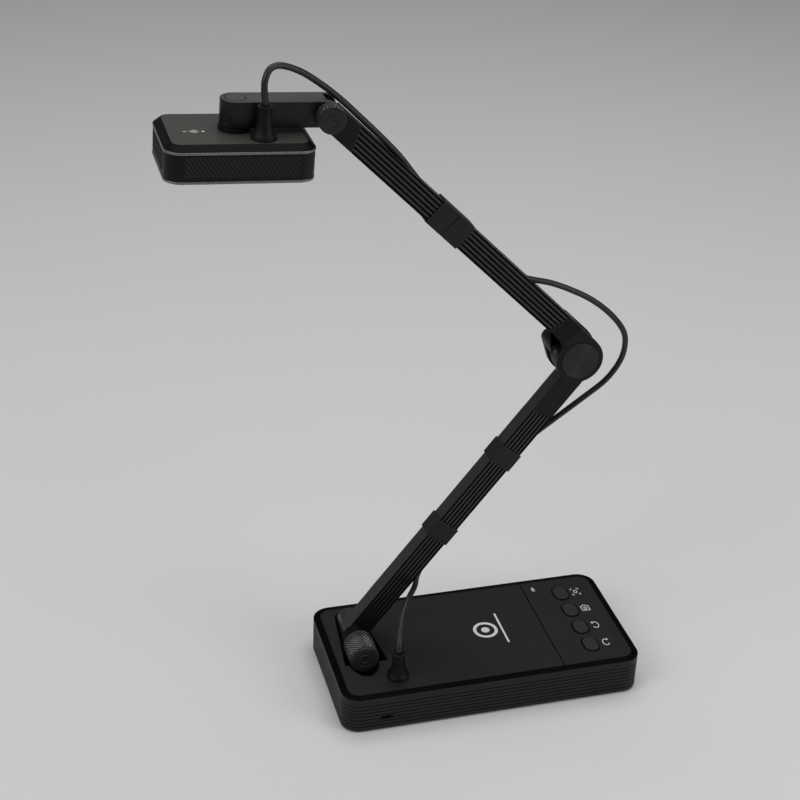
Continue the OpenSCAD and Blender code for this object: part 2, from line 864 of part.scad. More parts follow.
module head_top_plate() {
    color("#3a3a36") at_swivel() difference() {
        slab(head_l - 2 * head_plate_in, head_w - 2 * head_plate_in, head_r - head_plate_in,
            head_plate_z, head_top);
        translate([0, 0, head_plate_z - 1]) cylinder(h = 4, r = 6 + fixed_gap);
        translate([head_boot_at[0], head_boot_at[1], head_plate_z - 1])
            cylinder(h = 4, r = 5 + fixed_gap);
    }
}

module head_screw_places() {
    for (x = [-1, 1], y = [-1, 1]) translate([x * head_screw_x, y * head_screw_y, 0]) children();
}

module head_shell() {
    inner_l = head_l - 2 * head_wall - 0.1;
    inner_w = head_w - 2 * head_wall - 0.1;
    color("#1a1a1a") at_swivel() difference() {
        union() {
            translate([0, 0, head_top - head_bevel_h])
                bevelled(head_l, head_w, head_r, head_bevel_in, head_bevel_h);
            ring(inner_l, inner_w, head_r - head_wall, 1.5, -21, head_top - head_bevel_h);
            head_screw_places() translate([0, 0, -34]) cylinder(h = 34 + head_deck_z, r = 2.6);
        }
        slab(head_l - 2 * head_plate_in + 0.1, head_w - 2 * head_plate_in + 0.1,
            head_r - head_plate_in + 0.05, head_plate_z, head_top + 1);
        difference() {
            slab(inner_l - 3, inner_w - 3, head_r - head_wall - 1.5, -18, head_deck_z);
            head_screw_places() translate([0, 0, -40]) cylinder(h = 40, r = 2.6);
        }
        head_screw_places() translate([0, 0, -35]) cylinder(h = 9, r = 1 + fixed_gap);
        translate([head_boot_at[0], head_boot_at[1], head_deck_z - 1])
            cylinder(h = 4, r = 5 + fixed_gap);
    }
}

// Light-coloured trim lines above and below the patterned band
module head_trims() {
    color("#6a6a66") at_swivel() for (z = [upper_trim_z, lower_trim_z])
        ring(head_l + 2 * trim_out, head_w + 2 * trim_out, head_r + trim_out,
            head_wall + trim_out, z, z + trim_h);
}

module head_band() {
    color("#202021") at_swivel()
        ring(head_l, head_w, head_r, head_wall, lower_trim_z + trim_h, upper_trim_z);
}

module head_cover() {
    color("#181819") at_swivel() difference() {
        union() {
            translate([0, 0, lower_trim_z]) scale([1, 1, -1])
                bevelled(head_l, head_w, head_r, 3.5, lower_trim_z - head_bottom);
            slab(head_l - 2 * head_wall - 0.1, head_w - 2 * head_wall - 0.1, head_r - head_wall,
                lower_trim_z, -34);
        }
        translate([lens_dx, 0, head_bottom - 1]) cylinder(h = 6, r = 9 + fixed_gap);
        translate([led_dx, 0, 0]) slab(14.1, 42.1, 3.05, head_bottom - 1, head_bottom + 1.2);
        translate([led_dx, 0, 0]) slab(11, 39, 1.5, head_bottom - 1, -33);
        head_screw_places() translate([0, 0, head_bottom - 1]) {
            cylinder(h = 6, r = 1 + fixed_gap);
            cylinder(h = 2.4, r = 2 + fixed_gap);
        }
    }
}

module head_screws() {
    color("#3a3a3a") at_swivel() head_screw_places() translate([0, 0, head_bottom + 1.4])
        screw(1, 8, 2, 1.1);
}

// Lens barrel: a tube with a lip below the cover and a stepped bore
module lens_barrel() {
    color("#0f0f10") at_swivel() translate([lens_dx, 0, 0]) difference() {
        union() {
            translate([0, 0, head_bottom]) cylinder(h = 15.5, r = 9);
            translate([0, 0, head_bottom - 0.8]) cylinder(h = 0.8, r = 10.5);
        }
        translate([0, 0, head_bottom - 2]) cylinder(h = 2.8, r1 = 9.4, r2 = 7);
        translate([0, 0, head_bottom]) cylinder(h = 2, r = 6.5 + fixed_gap);
        translate([0, 0, head_bottom]) cylinder(h = 20, r = 5);
    }
}

module lens_glass() {
    color("#203038") at_swivel() translate([lens_dx, 0, head_bottom + 1]) cylinder(h = 1, r = 6.5);
}

module sensor_board() {
    color("#1d5a35") at_swivel() translate([lens_dx, 0, 0]) {
        block([-14, -14, head_bottom + 15.5], [14, 14, head_bottom + 16.7]);
    }
}

// Lamp board: six lamps on a strip above the diffuser
module led_board() {
    color("#e8e8e0") at_swivel() translate([led_dx, 0, 0]) {
        block([-7, -22, -34], [7, 22, -32.8]);
        for (y = [-17.5 : 7 : 17.5]) block([-1.5, y - 1.5, -34.7], [1.5, y + 1.5, -34]);
    }
}

module led_diffuser() {
    color("#dcdcd4") at_swivel() translate([led_dx, 0, 0])
        slab(14, 42, 3, head_bottom, head_bottom + 1.2);
}

module head_boot() {
    color("#161617") at_swivel() translate([head_boot_at[0], head_boot_at[1], head_top]) {
        boot();
        spigot_flange(head_top - head_deck_z);
    }
}

// ---- Cable ----

// Point on the smooth curve through the route, after point i, at share t of the gap
function curve(p, i, t) = 0.5 * (2 * p[i] + (p[i + 1] - p[i - 1]) * t
    + (2 * p[i - 1] - 5 * p[i] + 4 * p[i + 1] - p[i + 2]) * t * t
    + (3 * p[i] - p[i - 1] - 3 * p[i + 1] + p[i + 2]) * t * t * t);
function slope(p, i, t) = 0.5 * (p[i + 1] - p[i - 1]
    + 2 * (2 * p[i - 1] - 5 * p[i] + 4 * p[i + 1] - p[i + 2]) * t
    + 3 * (3 * p[i] - p[i - 1] - 3 * p[i + 1] + p[i + 2]) * t * t);
function unit(v) = v / norm(v);
function ring_at(centre, along, side) =
    let (a = unit(cross(along, side)), b = unit(cross(a, along)))
    [for (k = [0 : cable_sides - 1])
        centre + cable_r * (cos(k * 360 / cable_sides) * a + sin(k * 360 / cable_sides) * b)];

// Cable along a route from its point first to its point last, two rings to each gap
module cable(route, first, last, side) {
    steps = 2 * (last - first);
    places = [for (s = [0 : steps]) let (i = min(first + floor(s / 2), last - 1))
        [i, (first * 2 + s) / 2 - i]];
    points = [for (q = places)
        each ring_at(curve(route, q[0], q[1]), slope(route, q[0], q[1]), side)];
    n = cable_sides;
    walls = [for (s = [0 : steps - 1], k = [0 : n - 1])
        let (a = s * n + k, b = s * n + (k + 1) % n) [a, b, b + n, a + n]];
    start = [[for (k = [n - 1 : -1 : 0]) k]];
    finish = [[for (k = [0 : n - 1]) steps * n + k]];
    color("#0e0e0f") polyhedron(points = points, faces = concat(start, walls, finish));
}

module base_cable() {
    cable(base_route, 1, len(base_route) - 2, [-0.8, 0, 0.6]);
}

module lower_cable() {
    color("#0e0e0f") on_lower() translate([90, 0, cable_v]) rotate([0, 90, 0])
        cylinder(h = 107, r = cable_r);
}

module elbow_cable() {
    cable(elbow_route, 1, len(elbow_route) - 2, [0, 1, 0]);
}

module upper_cable() {
    color("#0e0e0f") on_upper() translate([80, 0, cable_v]) rotate([0, 90, 0])
        cylinder(h = 106, r = cable_r);
}

module bracket_cable() {
    cable(head_route, bracket_split, len(head_route) - 2, [0, 1, 0]);
}

module head_cable() {
    cable(head_route, 1, bracket_split, [0, 1, 0]);
}

base_band();
base_top_shell();
top_plate();
control_plate();
bottom_cover();
rubber_pad();
base_screws();
ballast_plate();
main_board();
board_screws();
usb_port();
key_board();
key_switches();
mic_capsule();
focus_button();
snapshot_button();
rotate_left_button();
rotate_right_button();
hinge_block();
hinge_bolt();
hinge_washers();
hinge_knob();
hinge_knob_cap();
base_boot();
lower_bar();
lower_root();
lower_tongue();
lower_clips();
upper_bar();
upper_fork();
upper_tip();
upper_clips();
elbow_bolt();
elbow_washers();
elbow_caps();
tilt_bracket();
wrist_bolt();
wrist_washers();
wrist_knob();
wrist_knob_cap();
bracket_cap();
swivel_post();
head_top_plate();
head_shell();
head_trims();
head_band();
head_cover();
head_screws();
lens_barrel();
lens_glass();
sensor_board();
led_board();
led_diffuser();
head_boot();
base_cable();
lower_cable();
elbow_cable();
upper_cable();
bracket_cable();
head_cable();
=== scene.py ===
import json
import math

import bmesh
import bpy
from mathutils import Matrix, Vector

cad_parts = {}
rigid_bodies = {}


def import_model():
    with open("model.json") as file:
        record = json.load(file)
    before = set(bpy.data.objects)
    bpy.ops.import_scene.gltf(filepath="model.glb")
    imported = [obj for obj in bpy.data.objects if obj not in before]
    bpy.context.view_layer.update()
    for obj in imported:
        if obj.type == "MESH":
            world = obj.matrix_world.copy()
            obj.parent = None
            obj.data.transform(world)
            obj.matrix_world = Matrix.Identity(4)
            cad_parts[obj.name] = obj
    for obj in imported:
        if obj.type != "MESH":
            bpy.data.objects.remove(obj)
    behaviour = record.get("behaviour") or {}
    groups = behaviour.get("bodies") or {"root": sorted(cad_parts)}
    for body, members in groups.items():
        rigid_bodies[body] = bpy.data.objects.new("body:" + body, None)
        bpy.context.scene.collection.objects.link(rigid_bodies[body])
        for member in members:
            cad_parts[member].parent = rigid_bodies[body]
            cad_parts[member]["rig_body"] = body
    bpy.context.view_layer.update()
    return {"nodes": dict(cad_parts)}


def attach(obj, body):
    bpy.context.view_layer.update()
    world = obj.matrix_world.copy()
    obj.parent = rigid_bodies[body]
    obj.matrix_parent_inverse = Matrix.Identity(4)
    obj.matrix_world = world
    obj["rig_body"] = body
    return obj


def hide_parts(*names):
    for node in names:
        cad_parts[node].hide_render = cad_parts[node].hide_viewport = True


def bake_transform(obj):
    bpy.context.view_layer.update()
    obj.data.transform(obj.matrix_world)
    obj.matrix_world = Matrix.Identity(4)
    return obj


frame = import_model()
MM = 0.001

# Sizes of the CAD source that shapes and materials here follow, in millimetres
BASE_L, BASE_W, BASE_R, BASE_TOP = 240, 120, 14, 31.5
ARM_T, ARM_H = 13, 18
ARM_Y, BARREL_FRONT = 19.5, 26.4
HEAD_L, HEAD_W, HEAD_R, HEAD_TOP = 99, 67, 11, -12
CABLE_R, CABLE_V = 2.2, -6.7
BOOT_X, BOOT_Y, BOOT_H = -73, -37.5, 22
BUTTON_PITCH = 23

# ---- Camera: the photograph's view ----

YAW, PITCH, ROLL = (math.radians(a) for a in (16.39, -29.41, 2.24))
EYE = Vector((-0.3623, -0.9974, 0.8383))
LENS, SENSOR = 74.7, 36.0

ahead = Vector((math.sin(YAW) * math.cos(PITCH), math.cos(YAW) * math.cos(PITCH), math.sin(PITCH)))
level = Vector((math.cos(YAW), -math.sin(YAW), 0))
over = level.cross(ahead)
right = level * math.cos(ROLL) + over * math.sin(ROLL)
above = over * math.cos(ROLL) - level * math.sin(ROLL)
cam_data = bpy.data.cameras.new("camera")
cam_data.lens = LENS
cam_data.sensor_width = SENSOR
cam_data.clip_end = 50
camera = bpy.data.objects.new("camera", cam_data)
turn = Matrix((right, above, -ahead)).transposed().to_4x4()
camera.matrix_world = Matrix.Translation(EYE) @ turn
bpy.context.scene.collection.objects.link(camera)
bpy.context.scene.camera = camera

# ---- Frames of the arms and the head, as in the CAD source ----

HINGE = Vector((-94.4, ARM_Y, 35.5)) * MM
LOWER_ANGLE, UPPER_ANGLE, HEAD_TILT = (math.radians(a) for a in (52.5, 135.7, 3.0))
LOWER_LEN, UPPER_LEN, OFFSET, REACH = 283 * MM, 278 * MM, 9.3 * MM, 60.5 * MM


def about_y(angle):
    return Matrix.Rotation(angle, 4, "Y")


on_lower = Matrix.Translation(HINGE) @ about_y(-LOWER_ANGLE)
ELBOW = on_lower @ Vector((LOWER_LEN, 0, OFFSET))
at_elbow = Matrix.Translation(ELBOW) @ about_y(-UPPER_ANGLE)
on_upper = at_elbow @ Matrix.Translation((0, 0, -OFFSET))
WRIST = on_upper @ Vector((UPPER_LEN, 0, 0))
on_head = Matrix.Translation(WRIST) @ about_y(HEAD_TILT)
at_swivel = on_head @ Matrix.Translation((-REACH, 0, 0))
to_front = Matrix.Rotation(math.radians(90), 4, "X")


def lower_at(u, v):
    return on_lower @ Vector((u * MM, 0, v * MM))


def upper_at(u, v):
    return on_upper @ Vector((u * MM, 0, v * MM))


def head_at(x, y, z):
    return on_head @ Vector((x * MM, y * MM, z * MM))


def at(x, y, z):
    return Vector((x * MM, y * MM, z * MM))


# ---- Materials ----

MATERIALS = {}
NOISE_RANGE = (0.7, 1.3)
BUMP_DEPTH = 0.0004
STREAK = (30, 1, 1)


def node(tree, kind, **inputs):
    made = tree.nodes.new(kind)
    for key, value in inputs.items():
        made.inputs[key.replace("_", " ")].default_value = value
    return made


def material(name, colour, rough, specular=0.5, metal=0.0, vary=0.2, rough_vary=0.08,
             grain=1400.0, bump=0.05, streak=None, coat=0.0, patch=45.0):
    """Adds to MATERIALS a plastic, metal or rubber with uneven tone and gloss and a fine surface grain.
    streak is the angle about Y along which the grain is drawn out."""
    mat = MATERIALS[name] = bpy.data.materials.new(name)
    mat.use_nodes = True
    tree = mat.node_tree
    shader = tree.nodes["Principled BSDF"]
    shader.inputs["Specular IOR Level"].default_value = specular
    shader.inputs["Metallic"].default_value = metal
    shader.inputs["Coat Weight"].default_value = coat
    link = tree.links.new
    place = tree.nodes.new("ShaderNodeTexCoord")
    where = place.outputs["Object"]
    patches = node(tree, "ShaderNodeTexNoise", Scale=patch, Detail=4.0, Roughness=0.6)
    link(where, patches.inputs["Vector"])
    tone = tree.nodes.new("ShaderNodeMix")
    tone.data_type = "RGBA"
    tone.inputs["A"].default_value = (*[c * (1 - vary) for c in colour], 1)
    tone.inputs["B"].default_value = (*[c * (1 + vary) for c in colour], 1)
    link(patches.outputs["Fac"], tone.inputs["Factor"])
    link(tone.outputs["Result"], shader.inputs["Base Color"])
    fine_where = where
    if streak is not None:
        turned = tree.nodes.new("ShaderNodeMapping")
        turned.vector_type = "TEXTURE"
        turned.inputs["Rotation"].default_value = (0, streak, 0)
        turned.inputs["Scale"].default_value = STREAK
        link(where, turned.inputs["Vector"])
        fine_where = turned.outputs["Vector"]
    fine = node(tree, "ShaderNodeTexNoise", Scale=grain, Detail=3.0, Roughness=0.55)
    link(fine_where, fine.inputs["Vector"])
    handled = node(tree, "ShaderNodeTexNoise", Scale=patch * 3.1, Detail=5.0, Roughness=0.7,
                   Distortion=0.6)
    link(where, handled.inputs["Vector"])
    both = tree.nodes.new("ShaderNodeMath")
    both.operation = "ADD"
    link(fine.outputs["Fac"], both.inputs[0])
    link(handled.outputs["Fac"], both.inputs[1])
    gloss = tree.nodes.new("ShaderNodeMapRange")
    gloss.inputs["From Min"].default_value, gloss.inputs["From Max"].default_value = NOISE_RANGE
    gloss.inputs["To Min"].default_value = rough - rough_vary
    gloss.inputs["To Max"].default_value = rough + rough_vary
    link(both.outputs["Value"], gloss.inputs["Value"])
    link(gloss.outputs["Result"], shader.inputs["Roughness"])
    relief = node(tree, "ShaderNodeBump", Strength=bump, Distance=BUMP_DEPTH)
    link(fine.outputs["Fac"], relief.inputs["Height"])
    link(relief.outputs["Normal"], shader.inputs["Normal"])


material("plate", (0.0097, 0.0097, 0.01), 0.42, specular=0.3, grain=2200, bump=0.03)
material("shell", (0.006, 0.006, 0.0062), 0.5, specular=0.3, grain=1800, bump=0.08)
# painted shade: near-black and nearly unreflective, on upward sloping bevels and ledges and on the
# plates' rounded edges, darkening the seams between plates
material("slope", (0.0008, 0.0008, 0.0008), 0.5, specular=0.04, grain=2200, bump=0.04)
# painted shade: a darker, duller copy of shell on the head shell's sloping faces and rounded edges
material("head_slope", (0.003, 0.003, 0.003), 0.45, specular=0.1, grain=2200, bump=0.04)
material("band", (0.012, 0.012, 0.0122), 0.5, specular=0.24, grain=1800, bump=0.06)
material("head_band", (0.0042, 0.0042, 0.0042), 0.4, specular=0.2, grain=1800, bump=0.06)
# painted shade: near-black in the arms' flutes, in the base band's grooves and on the buttons' rounded
# edges round their gaps
material("groove", (0.002, 0.002, 0.002), 0.7, specular=0.08, grain=1800, bump=0.05)
material("fitting", (0.0048, 0.0048, 0.005), 0.5, specular=0.22, grain=1600, bump=0.1)
material("bracket_side", (0.004, 0.004, 0.004), 0.33, specular=0.36, grain=1600, bump=0.05)
# painted shade: a darker, duller copy of fitting on the hinge block's lug
material("lug", (0.0018, 0.0018, 0.0018), 0.5, specular=0.1, grain=1600, bump=0.1)
material("bracket_top", (0.06, 0.06, 0.056), 0.4, specular=0.5, grain=2200, bump=0.04)
material("barrel", (0.02, 0.02, 0.0205), 0.26, specular=0.8, grain=2500, bump=0.03)
# lighter rounded edges: partly worn edges, partly painted highlight
material("edge", (0.016, 0.016, 0.0165), 0.36, specular=0.5, grain=2500, bump=0.03)
# painted highlight: the bright rounded edge of the hinge block's lug
material("rim", (0.07, 0.07, 0.068), 0.35, specular=0.6, grain=2500, bump=0.03)
material("lower", (0.0165, 0.0165, 0.017), 0.36, specular=0.5, grain=900, bump=0.05,
         streak=-LOWER_ANGLE)
material("upper", (0.0165, 0.0165, 0.017), 0.36, specular=0.5, grain=900, bump=0.05,
         streak=-UPPER_ANGLE)
material("clip", (0.0078, 0.0078, 0.008), 0.45, specular=0.28, grain=1800, bump=0.06)
material("cap", (0.011, 0.011, 0.0113), 0.4, specular=0.36, grain=2000, bump=0.05)
# painted light: a lighter copy of cap for the hinge knob's cap, which sits in shade
material("cap_painted_light", (0.03, 0.03, 0.031), 0.4, specular=0.4, grain=2000, bump=0.05)
material("knob", (0.19, 0.19, 0.195), 0.32, specular=0.5, metal=0.9, grain=1500, bump=0.04)
# painted shade in the knurl's valleys
material("knurl_painted_shade", (0.012, 0.012, 0.012), 0.5, specular=0.2, grain=1500, bump=0.04)
material("button", (0.017, 0.017, 0.0175), 0.34, specular=0.5, grain=2500, bump=0.02)
material("rubber", (0.0035, 0.0035, 0.0035), 0.5, specular=0.2, grain=1200, bump=0.12)
material("cable", (0.01, 0.01, 0.01), 0.38, specular=0.45, grain=1500, bump=0.08)
material("head_plate", (0.046, 0.046, 0.041), 0.4, specular=0.5, grain=2200, bump=0.03)
material("hatch", (0.0046, 0.0046, 0.0045), 0.38, specular=0.27, grain=2200, bump=0.04)
material("trim", (0.19, 0.19, 0.178), 0.3, specular=0.5, metal=0.7, grain=2500, bump=0.02)
material("steel", (0.45, 0.45, 0.46), 0.3, metal=1.0, grain=1800, bump=0.05)
# painted shade: darkened steel for the recessed USB port
material("port", (0.06, 0.06, 0.062), 0.35, metal=0.9, grain=1800, bump=0.05)
material("cast", (0.14, 0.14, 0.145), 0.6, metal=0.7, grain=700, bump=0.3)
material("brass", (0.6, 0.42, 0.16), 0.35, metal=1.0, grain=1500, bump=0.05)
material("board", (0.015, 0.10, 0.04), 0.4, vary=0.3, grain=1500, bump=0.1)
material("grey", (0.4, 0.4, 0.4), 0.5, grain=1500, bump=0.05)
material("glass", (0.02, 0.03, 0.05), 0.06, vary=0.1, rough_vary=0.02, grain=900, bump=0.004, coat=1.0)
material("lens_black", (0.005, 0.005, 0.005), 0.5, specular=0.4, grain=2000, bump=0.05)
material("diffuser", (0.7, 0.7, 0.66), 0.6, vary=0.05, grain=1600, bump=0.1)
material("print", (0.7, 0.7, 0.69), 0.5, vary=0.04, grain=2500, bump=0.05)

# ---- Building pieces ----

def piece(name, bm, body, mats, matrix=None, *, replaces=(), smooth=35):
    """Makes an object from a bmesh, riding on a body unless body is None.
    smooth is the angle in degrees above which an edge shows."""
    mesh = bpy.data.meshes.new(name)
    bm.to_mesh(mesh)
    bm.free()
    if matrix is not None:
        mesh.transform(matrix)
    mesh.shade_smooth()
    mesh.set_sharp_from_angle(angle=math.radians(smooth))
    for m in mats:
        mesh.materials.append(MATERIALS[m])
    obj = bpy.data.objects.new(name, mesh)
    bpy.context.scene.collection.objects.link(obj)
    if body:
        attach(obj, body)
    if replaces:
        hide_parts(*replaces)
    return obj


WELD = 0.003 * MM
FLAT, SHARP = math.radians(0.5), math.radians(28)


def refine(name, mats, width, pick):
    """The CAD node's own shape, with its sharp edges rounded. The rounding takes the last material.
    The other faces take the one that pick(face) chooses, or the first."""
    bm = bmesh.new()
    bm.from_mesh(frame["nodes"][name].data)
    bmesh.ops.remove_doubles(bm, verts=bm.verts, dist=WELD)
    bmesh.ops.dissolve_limit(bm, angle_limit=FLAT, verts=bm.verts, edges=bm.edges)
    for face in bm.faces:
        face.material_index = pick(face) if pick else 0
    sharp = [e for e in bm.edges if len(e.link_faces) == 2 and e.calc_face_angle(0) > SHARP]
    bmesh.ops.bevel(bm, geom=sharp, offset=width * MM, segments=2, profile=0.5, affect="EDGES",
                    clamp_overlap=False, material=len(mats) - 1)
    obj = piece(name + "_fine", bm, frame["nodes"][name]["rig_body"], mats, replaces=[name],
                smooth=40)
    weigh = obj.modifiers.new("weigh", "WEIGHTED_NORMAL")
    weigh.keep_sharp = True


def lathe(profile, segments=96, wobble=None):
    """Revolves (radius, height) points, in millimetres, round Z, from axis to axis.
    wobble(angle, height, place in the profile) adds to the radius."""
    bm = bmesh.new()
    rings = []
    for k, (r, z) in enumerate(profile):
        if r < 1e-6:
            rings.append([bm.verts.new(at(0, 0, z))])
            continue
        ring = []
        for i in range(segments):
            a = 2 * math.pi * i / segments
            rr = r + (wobble(a, z, k) if wobble else 0)
            ring.append(bm.verts.new(at(rr * math.cos(a), rr * math.sin(a), z)))
        rings.append(ring)
    for low, high in zip(rings, rings[1:]):
        for i in range(segments):
            j = (i + 1) % segments
            if len(low) == 1:
                bm.faces.new((high[j], high[i], low[0]))
            elif len(high) == 1:
                bm.faces.new((low[i], low[j], high[0]))
            else:
                bm.faces.new((low[i], low[j], high[j], high[i]))
    return bm


def softened(profile, radius):
    """Rounds the corners of an open (radius, height) profile."""
    steps = 3
    out = [profile[0]]
    for p, q, r in zip(profile, profile[1:], profile[2:]):
        a, b, c = Vector(p), Vector(q), Vector(r)
        cut = min(radius, (a - b).length * 0.45, (c - b).length * 0.45)
        s, e = b + (a - b).normalized() * cut, b + (c - b).normalized() * cut
        for i in range(steps + 1):
            t = i / steps
            out.append(tuple(s * (1 - t) ** 2 + b * 2 * t * (1 - t) + e * t * t))
    out.append(profile[-1])
    return out


def spline(points):
    """Catmull-Rom curve through the points; the first and the last only set its direction there."""
    out, step = [], 1.5 * MM
    for p0, p1, p2, p3 in zip(points, points[1:], points[2:], points[3:]):
        count = max(2, round((p2 - p1).length / step))
        for i in range(count):
            t = i / count
            out.append(0.5 * (2 * p1 + (p2 - p0) * t + (2 * p0 - 5 * p1 + 4 * p2 - p3) * t * t
                              + (3 * p1 - p0 - 3 * p2 + p3) * t ** 3))
    out.append(points[-2].copy())
    return out


def tube(path):
    """Cable along a path, with closed ends."""
    radius, sides = CABLE_R * MM, 20
    bm = bmesh.new()
    rings, across = [], None
    for i, p in enumerate(path):
        along = (path[min(i + 1, len(path) - 1)] - path[max(i - 1, 0)]).normalized()
        if across is None:
            across = along.orthogonal().normalized()
        across = (across - along * across.dot(along)).normalized()
        up = along.cross(across)
        rings.append([bm.verts.new(p + radius * (math.cos(a) * across + math.sin(a) * up))
                      for a in (2 * math.pi * k / sides for k in range(sides))])
    for low, high in zip(rings, rings[1:]):
        for k in range(sides):
            j = (k + 1) % sides
            bm.faces.new((low[k], low[j], high[j], high[k]))
    bm.faces.new(rings[0][::-1])
    bm.faces.new(rings[-1])
    return bm


# ---- Cable: loops at the three joints, held in the arms between them ----

boot_top = at(BOOT_X, BOOT_Y, BASE_TOP + BOOT_H)
base_route = [lower_at(102, -9), lower_at(90, CABLE_V), lower_at(80, -9), at(-44, 17.8, 82.8),
              at(-48.3, 10, 77.5), at(-57.5, -4, 76), at(-66.5, -20, 71.5), at(-71.5, -33, 62),
              boot_top, at(-71.5, -33, 31.5)]
elbow_route = [upper_at(90, -9.8), upper_at(80, CABLE_V), upper_at(72, -9.8)] + [
    at(x, ARM_Y, z) for x, z in (
        (47, 325.5), (63, 318.5), (80, 309), (96, 296), (108, 281), (111, 268), (108, 254),
        (98, 239.5), (81, 226), (64, 213.5))] + [
    lower_at(216, -11.1), lower_at(206, -8.4), lower_at(197, CABLE_V), lower_at(187, -8.4)]
head_route = [head_at(-45.5, -18.5, 0), head_at(-44.5, -18.7, 10), head_at(-45.5, -18.5, 20),
              head_at(-45, -17.5, 27), head_at(-41.5, -15, 33), head_at(-34, -12, 34.2),
              head_at(-20.5, -8.5, 29.2), head_at(-6, -5.5, 20), head_at(9, -2.5, 8.4),
              head_at(24, -0.5, -5), upper_at(233, -11.7), upper_at(215, -10.6),
              upper_at(200, -8.3), upper_at(186, CABLE_V), upper_at(172, -8.3)]
SPLIT = 6


def loop(name, route, cad_node, reverse=False):
    """One loop of the cable, made on no body. Its exit is the route's start, or its end where reverse is
    set."""
    path = spline(route)
    obj = piece(name, tube(path), None, ["cable"], replaces=[cad_node])
    start, end = (path[-1], path[0]) if reverse else (path[0], path[-1])
    tuple(start)
    tuple(end)
    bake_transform(obj)
    tuple(start)


loop("base_loop", base_route, "base_cable", reverse=True)
loop("elbow_loop", elbow_route, "elbow_cable", reverse=True)
# these two meet at the route's point number SPLIT, over the bracket
loop("wrist_loop", head_route[SPLIT - 1:], "bracket_cable", reverse=True)
loop("head_loop", head_route[:SPLIT + 2], "head_cable")
# the stretches held in the arms
for name, place, ends, body in (("lower_cable", lower_at, (90, 197), "lower_arm"),
                                ("upper_cable", upper_at, (80, 186), "upper_arm")):
    path = [place(u, CABLE_V) for u in ends]
    piece(name + "_run", tube(path), body, ["cable"], replaces=[name])

# ---- Carried and refined CAD pieces ----

def in_frame(matrix, face):
    """The face's centre, in millimetres, in a frame of the arms or the head."""
    return matrix.inverted() @ face.calc_center_median() / MM


def fluted(matrix):
    """Flutes of an arm's bar take the second material, a near-black painted shade."""
    def pick(face):
        place = in_frame(matrix, face)
        return 1 if abs(place.y) < ARM_T / 2 - 0.05 and abs(place.z) < ARM_H / 2 - 0.1 else 0
    return pick


def by_slope(face):
    """The bevel and the ledge inside it take the second material, a darker copy painted as shade."""
    return 1 if face.normal.z > 0.2 else 0


def level_top(face):
    """Faces that look straight up take the second material."""
    return 1 if face.normal.z > 0.7 else 0


def narrow(matrix):
    """The narrow faces of an arm's fitting take the second material."""
    def pick(face):
        return 1 if abs((matrix.to_3x3().inverted() @ face.normal).z) > 0.9 else 0
    return pick


def hinge_parts(face):
    """The hinge block's barrel, behind its lug, takes the second material. The lug keeps the first, a
    darker painted shade.
    """
    return 1 if face.calc_center_median().y / MM > BARREL_FRONT - 0.2 else 0


def band_grooves(face):
    """All but the band's outer wall takes the second material, a near-black painted shade."""
    place = face.calc_center_median() / MM
    past_x, past_y = abs(place.x) - BASE_L / 2 + BASE_R, abs(place.y) - BASE_W / 2 + BASE_R
    straight = max(past_x, past_y) > BASE_R - 0.1
    corner = math.hypot(max(past_x, 0), max(past_y, 0)) > BASE_R - 0.25
    upright = abs(face.normal.z) < 0.1
    return 0 if upright and (straight or corner) else 1


# In the lists below the lighter rounding colour is partly wear, partly painted highlight, the hinge
# block's bright rim is a painted highlight, and the near-black colours are painted shade
REFINED = [
    ("base_band", ["band", "groove", "band"], 0.15, band_grooves),
    ("base_top_shell", ["band", "slope", "band"], 0.3, by_slope),
    ("top_plate", ["plate", "slope"], 0.25, None),
    ("control_plate", ["plate", "slope"], 0.25, None),
    ("bottom_cover", ["shell", "edge"], 0.4, None),
    ("rubber_pad", ["rubber", "rubber"], 0.3, None),
    ("hinge_block", ["lug", "barrel", "rim"], 0.35, hinge_parts),
    ("lower_root", ["fitting", "lower", "fitting"], 0.4, narrow(on_lower)),
    ("lower_tongue", ["fitting", "lower", "fitting"], 0.4, narrow(on_lower)),
    ("upper_fork", ["fitting", "fitting"], 0.4, None),
    ("upper_tip", ["fitting", "edge"], 0.4, None),
    ("tilt_bracket", ["bracket_side", "bracket_top", "edge"], 0.5, level_top),
    ("lower_bar", ["lower", "groove", "edge"], 0.15, fluted(on_lower)),
    ("upper_bar", ["upper", "groove", "edge"], 0.15, fluted(on_upper)),
    ("lower_clips", ["clip", "edge"], 0.3, None),
    ("upper_clips", ["clip", "edge"], 0.3, None),
    ("bracket_cap", ["bracket_top", "slope"], 0.25, None),
    ("head_top_plate", ["head_plate", "slope"], 0.25, None),
    ("head_shell", ["shell", "head_slope", "head_slope"], 0.25, by_slope),
    ("head_band", ["head_band", "head_band"], 0.15, None),
    ("head_cover", ["shell", "edge"], 0.3, None),
    ("head_trims", ["trim", "trim"], 0.35, None),
    ("lens_barrel", ["lens_black", "lens_black"], 0.2, None),
    ("led_diffuser", ["diffuser", "diffuser"], 0.2, None),
]
for use in ("focus", "snapshot", "rotate_left", "rotate_right"):
    # the buttons' rounded edges take painted shade
    REFINED.append((use + "_button", ["button", "groove"], 0.7, None))
for name, mats, width, pick in REFINED:
    refine(name, mats, width, pick)

CARRIED = {
    "base_screws": "steel", "ballast_plate": "cast", "main_board": "board", "board_screws": "steel",
    # the USB port's darkened steel is painted shade in its recess
    "usb_port": "port", "key_board": "board", "key_switches": "grey", "mic_capsule": "steel",
    "hinge_bolt": "steel", "hinge_washers": "brass", "elbow_bolt": "steel",
    "elbow_washers": "brass", "wrist_bolt": "steel", "wrist_washers": "brass",
    "swivel_post": "fitting", "head_screws": "steel", "sensor_board": "board",
    "led_board": "grey", "lens_glass": "glass",
}
for name, mat in CARRIED.items():
    mesh = frame["nodes"][name].data
    mesh.materials.clear()
    mesh.materials.append(MATERIALS[mat])

# ---- Knurled knobs ----

